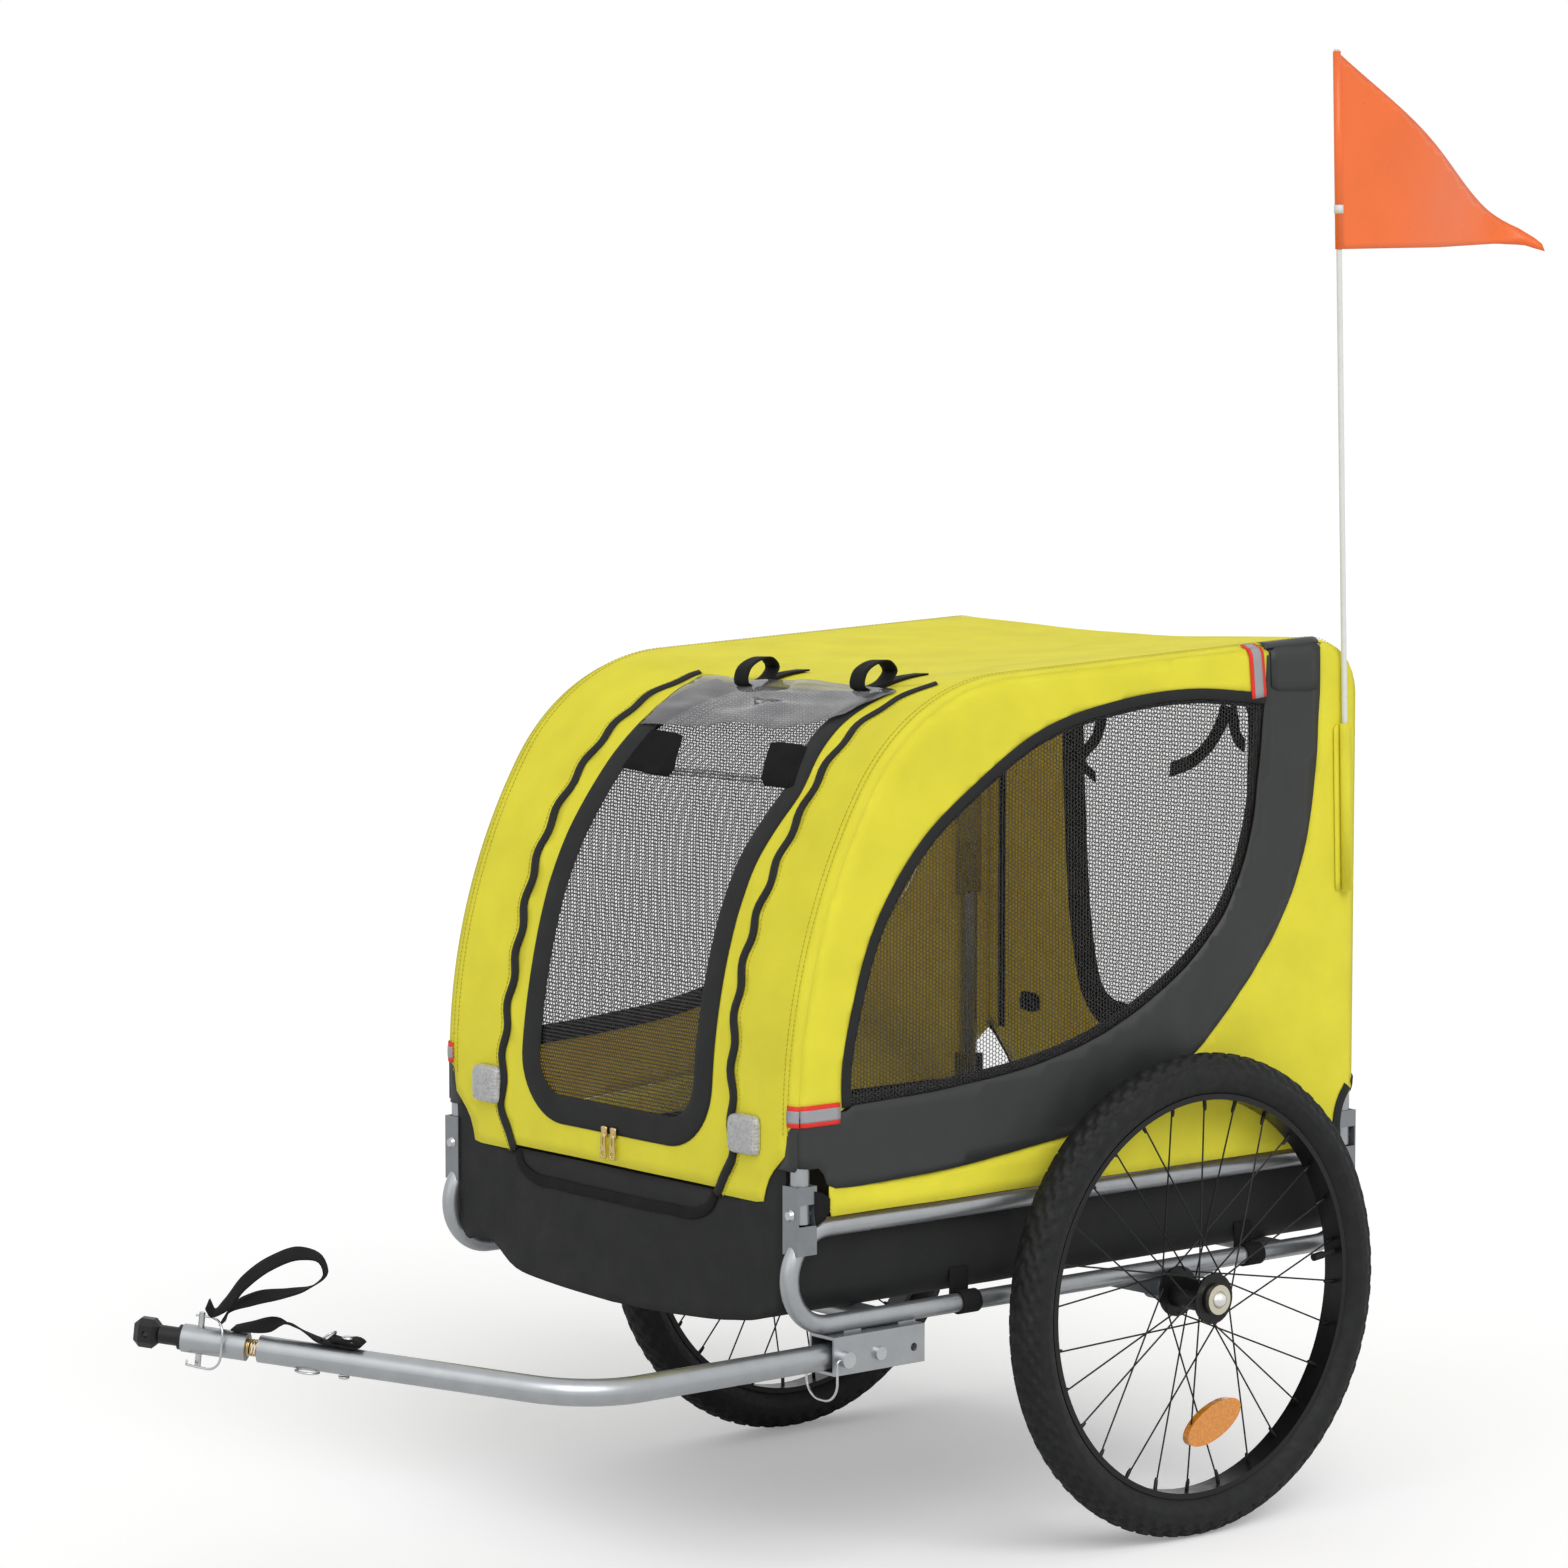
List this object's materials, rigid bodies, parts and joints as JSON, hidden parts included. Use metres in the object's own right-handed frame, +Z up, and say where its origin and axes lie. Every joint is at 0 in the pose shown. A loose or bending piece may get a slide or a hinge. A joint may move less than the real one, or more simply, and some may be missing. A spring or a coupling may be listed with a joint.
{
  "type": "dog bike trailer",
  "caption": "Two-wheeled pet trailer for a bicycle: folding tube frame, fabric tub and cover with mesh windows, side tow bar with a flexing hitch, and a safety flag on a pole.",
  "frame": {"origin": "on the ground, in the middle of the whole length from flag tip to hitch, on the trailer's middle plane between the wheels", "axes": "+X forward towards the hitch, +Y to the trailer's left (tow bar side), +Z up"},
  "size_m": [1.5802, 0.7376, 1.5267],
  "materials": {
    "silver_tube": "satin silver powder coat",
    "grey_bracket": "satin grey coat",
    "zinc_steel": "zinc plated",
    "bright_button": "polished",
    "tyre": "matt with knobs",
    "black_metal": "satin black",
    "black_rubber": "matt",
    "amber_lens": "clear amber lens",
    "silver_sleeve": "bright zinc",
    "yellow_steel": "yellow passivated",
    "black_nylon": "moulded",
    "black_webbing": "woven band",
    "black_fabric": "coated weave",
    "black_board": "plain sheet",
    "yellow_fabric": "coated weave",
    "black_mesh": "open mesh",
    "clear_lens": "clear prism lens",
    "gold_zip": "plated",
    "white_pole": "smooth",
    "orange_vinyl": "glossy film"
  },
  "bodies": {
    "chassis": {"left_loop": "silver_tube", "right_loop": "silver_tube", "front_cross_tube": "silver_tube", "rear_cross_tube": "silver_tube", "front_left_bracket": "grey_bracket", "rear_left_bracket": "grey_bracket", "front_right_bracket": "grey_bracket", "rear_right_bracket": "grey_bracket", "pivot_bolts": "zinc_steel", "left_axle_mount": "grey_bracket", "left_axle": "zinc_steel", "right_axle_mount": "grey_bracket", "right_axle": "zinc_steel", "hitch_receiver": "silver_tube", "receiver_bolt": "zinc_steel", "receiver_pin": "zinc_steel", "tow_bar": "silver_tube", "coupler_spring": "yellow_steel", "safety_strap": "black_webbing", "strap_anchor": "black_webbing", "floor_tub": "black_fabric", "floor_board": "black_board", "tub_bands": "black_webbing", "roof_cover": "yellow_fabric", "front_door": "yellow_fabric", "door_mesh": "black_mesh", "rear_mesh": "black_mesh", "left_side_panel": "yellow_fabric", "right_side_panel": "yellow_fabric", "left_side_mesh": "black_mesh", "right_side_mesh": "black_mesh", "front_reflectors": "clear_lens", "zip_sliders": "gold_zip", "carry_loops": "black_webbing"},
    "left_arch": {"left_arch": "silver_tube", "flag_pocket": "yellow_fabric"},
    "right_arch": {"right_arch": "silver_tube"},
    "flag": {"flag_pole": "white_pole", "flag": "orange_vinyl"},
    "left_wheel": {"left_tyre": "tyre", "left_rim": "black_metal", "left_spokes": "black_metal", "left_hub": "black_metal", "left_bearings": "zinc_steel", "left_valve": "black_rubber", "left_wheel_reflector": "amber_lens"},
    "right_wheel": {"right_tyre": "tyre", "right_rim": "black_metal", "right_spokes": "black_metal", "right_hub": "black_metal", "right_bearings": "zinc_steel", "right_valve": "black_rubber", "right_wheel_reflector": "amber_lens"},
    "left_button": {"left_button": "bright_button"},
    "right_button": {"right_button": "bright_button"},
    "receiver_ring": {"receiver_ring": "zinc_steel"},
    "coupler": {"coupler_sleeve": "silver_sleeve", "hitch_rod": "black_nylon", "coupler_pin": "zinc_steel"},
    "coupler_ring": {"coupler_ring": "zinc_steel"}
  },
  "joints": [
    {"name": "left_fold", "type": "hinge", "parent": "chassis", "child": "left_arch", "pos_m": [-0.24591, 0.281, 0.383], "axis": [1, 0, 0], "range_deg": [0, 72], "deforming": ["roof_cover", "front_door", "door_mesh", "rear_mesh", "left_side_panel", "right_side_panel", "left_side_mesh", "right_side_mesh", "front_reflectors", "zip_sliders", "carry_loops"]},
    {"name": "right_fold", "type": "hinge", "parent": "chassis", "child": "right_arch", "pos_m": [-0.24591, -0.281, 0.383], "axis": [1, 0, 0], "range_deg": [-90, 0]},
    {"name": "flag_pull", "type": "slide", "parent": "left_arch", "child": "flag", "axis": [0.0314, 0, 0.9995], "range_m": [0, 0.17]},
    {"name": "left_wheel_spin", "type": "hinge", "parent": "chassis", "child": "left_wheel", "pos_m": [-0.24591, 0.327, 0.25], "axis": [0, 1, 0], "continuous": true},
    {"name": "right_wheel_spin", "type": "hinge", "parent": "chassis", "child": "right_wheel", "pos_m": [-0.24591, -0.327, 0.25], "axis": [0, 1, 0], "continuous": true},
    {"name": "left_button_press", "type": "slide", "parent": "chassis", "child": "left_button", "axis": [0, -1, 0], "range_m": [0, 0.0035], "stiffness_N_per_m": 1500},
    {"name": "right_button_press", "type": "slide", "parent": "chassis", "child": "right_button", "axis": [0, 1, 0], "range_m": [0, 0.0035], "stiffness_N_per_m": 1500},
    {"name": "receiver_ring_swing", "type": "hinge", "parent": "chassis", "child": "receiver_ring", "pos_m": [0.20308, 0.3045, 0.23905], "axis": [1, 0, 0], "range_deg": [0, 100]},
    {"name": "coupler_flex", "type": "hinge", "parent": "chassis", "child": "coupler", "pos_m": [0.70941, 0.03433, 0.27436], "axis": [-0.0703, 0.0821, 0.9941], "range_deg": [-25, 25], "stiffness_Nm_per_rad": 8, "deforming": ["coupler_spring", "safety_strap"]},
    {"name": "coupler_ring_swing", "type": "hinge", "parent": "coupler", "child": "coupler_ring", "pos_m": [0.74204, -0.00376, 0.30335], "axis": [0.6468, -0.755, 0.1081], "range_deg": [0, 100]}
  ],
  "couplings": [
    {"joint": "right_fold", "follows": "left_fold", "ratio": -1.25}
  ]
}
